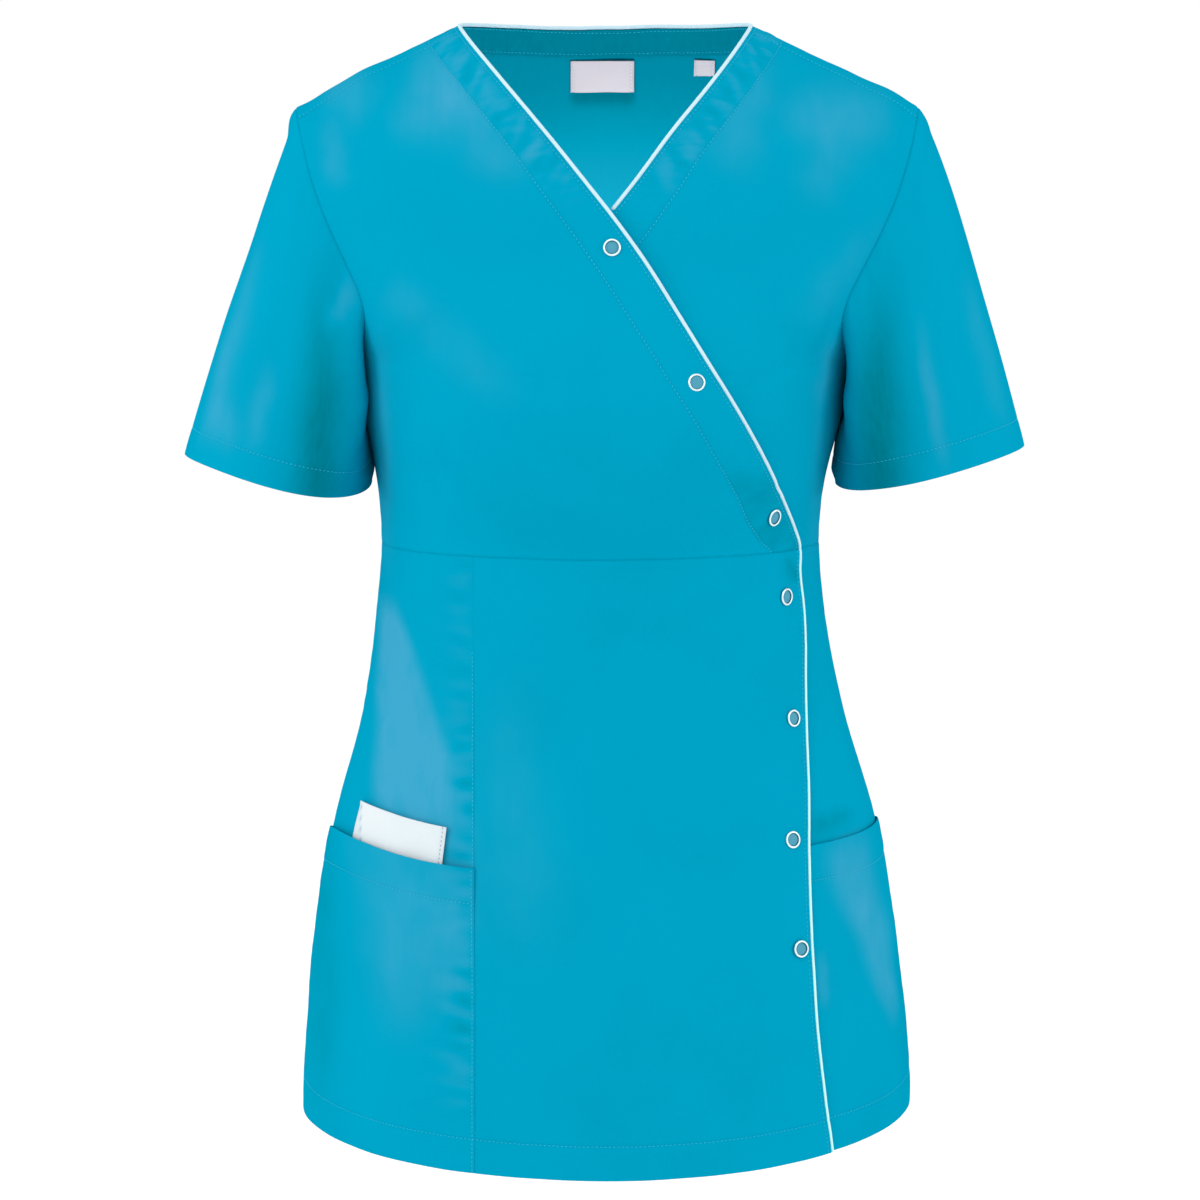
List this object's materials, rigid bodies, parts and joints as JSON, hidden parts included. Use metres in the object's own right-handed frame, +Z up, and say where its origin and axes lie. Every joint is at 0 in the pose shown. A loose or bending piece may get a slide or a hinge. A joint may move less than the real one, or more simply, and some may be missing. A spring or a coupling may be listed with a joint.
{
  "type": "work blouse",
  "caption": "Crossover work blouse with short sleeves, V neck, white piping, ring snaps down one side and patch pockets.",
  "frame": {"origin": "midway between the two high points of the shoulders, where the wearer's shoulders and neck carry the garment", "axes": "+Z up along the body, -Y out of the front, +X towards the wearer's left"},
  "size_m": [0.5305, 0.2874, 0.7046],
  "materials": {
    "cloth": "plain turquoise poly-cotton with a fine close weave, matt with a soft sheen",
    "white_cloth": "plain white cotton, matt",
    "piping": "white bias-cut cotton over a thin cord, matt",
    "label": "bare woven tape, off-white, smooth",
    "snap_ring": "nickel-plated open ring, polished"
  },
  "bodies": {
    "root": {"back": "cloth", "bodice_right_outer": "cloth", "bodice_left_under": "cloth", "skirt_side_right": "cloth", "skirt_front_right": "cloth", "skirt_left_under": "cloth", "pocket_right": "cloth", "pocket_left": "cloth", "sleeve_right": "cloth", "sleeve_left": "cloth", "back_neck_band": "cloth", "pocket_insert": "white_cloth", "piping_outer": "piping", "piping_under": "piping", "piping_back": "piping", "neck_label": "label", "side_tag": "label", "snap_1": "snap_ring", "snap_2": "snap_ring", "snap_3": "snap_ring", "snap_4": "snap_ring", "snap_5": "snap_ring", "snap_6": "snap_ring", "snap_7": "snap_ring"}
  },
  "joints": []
}
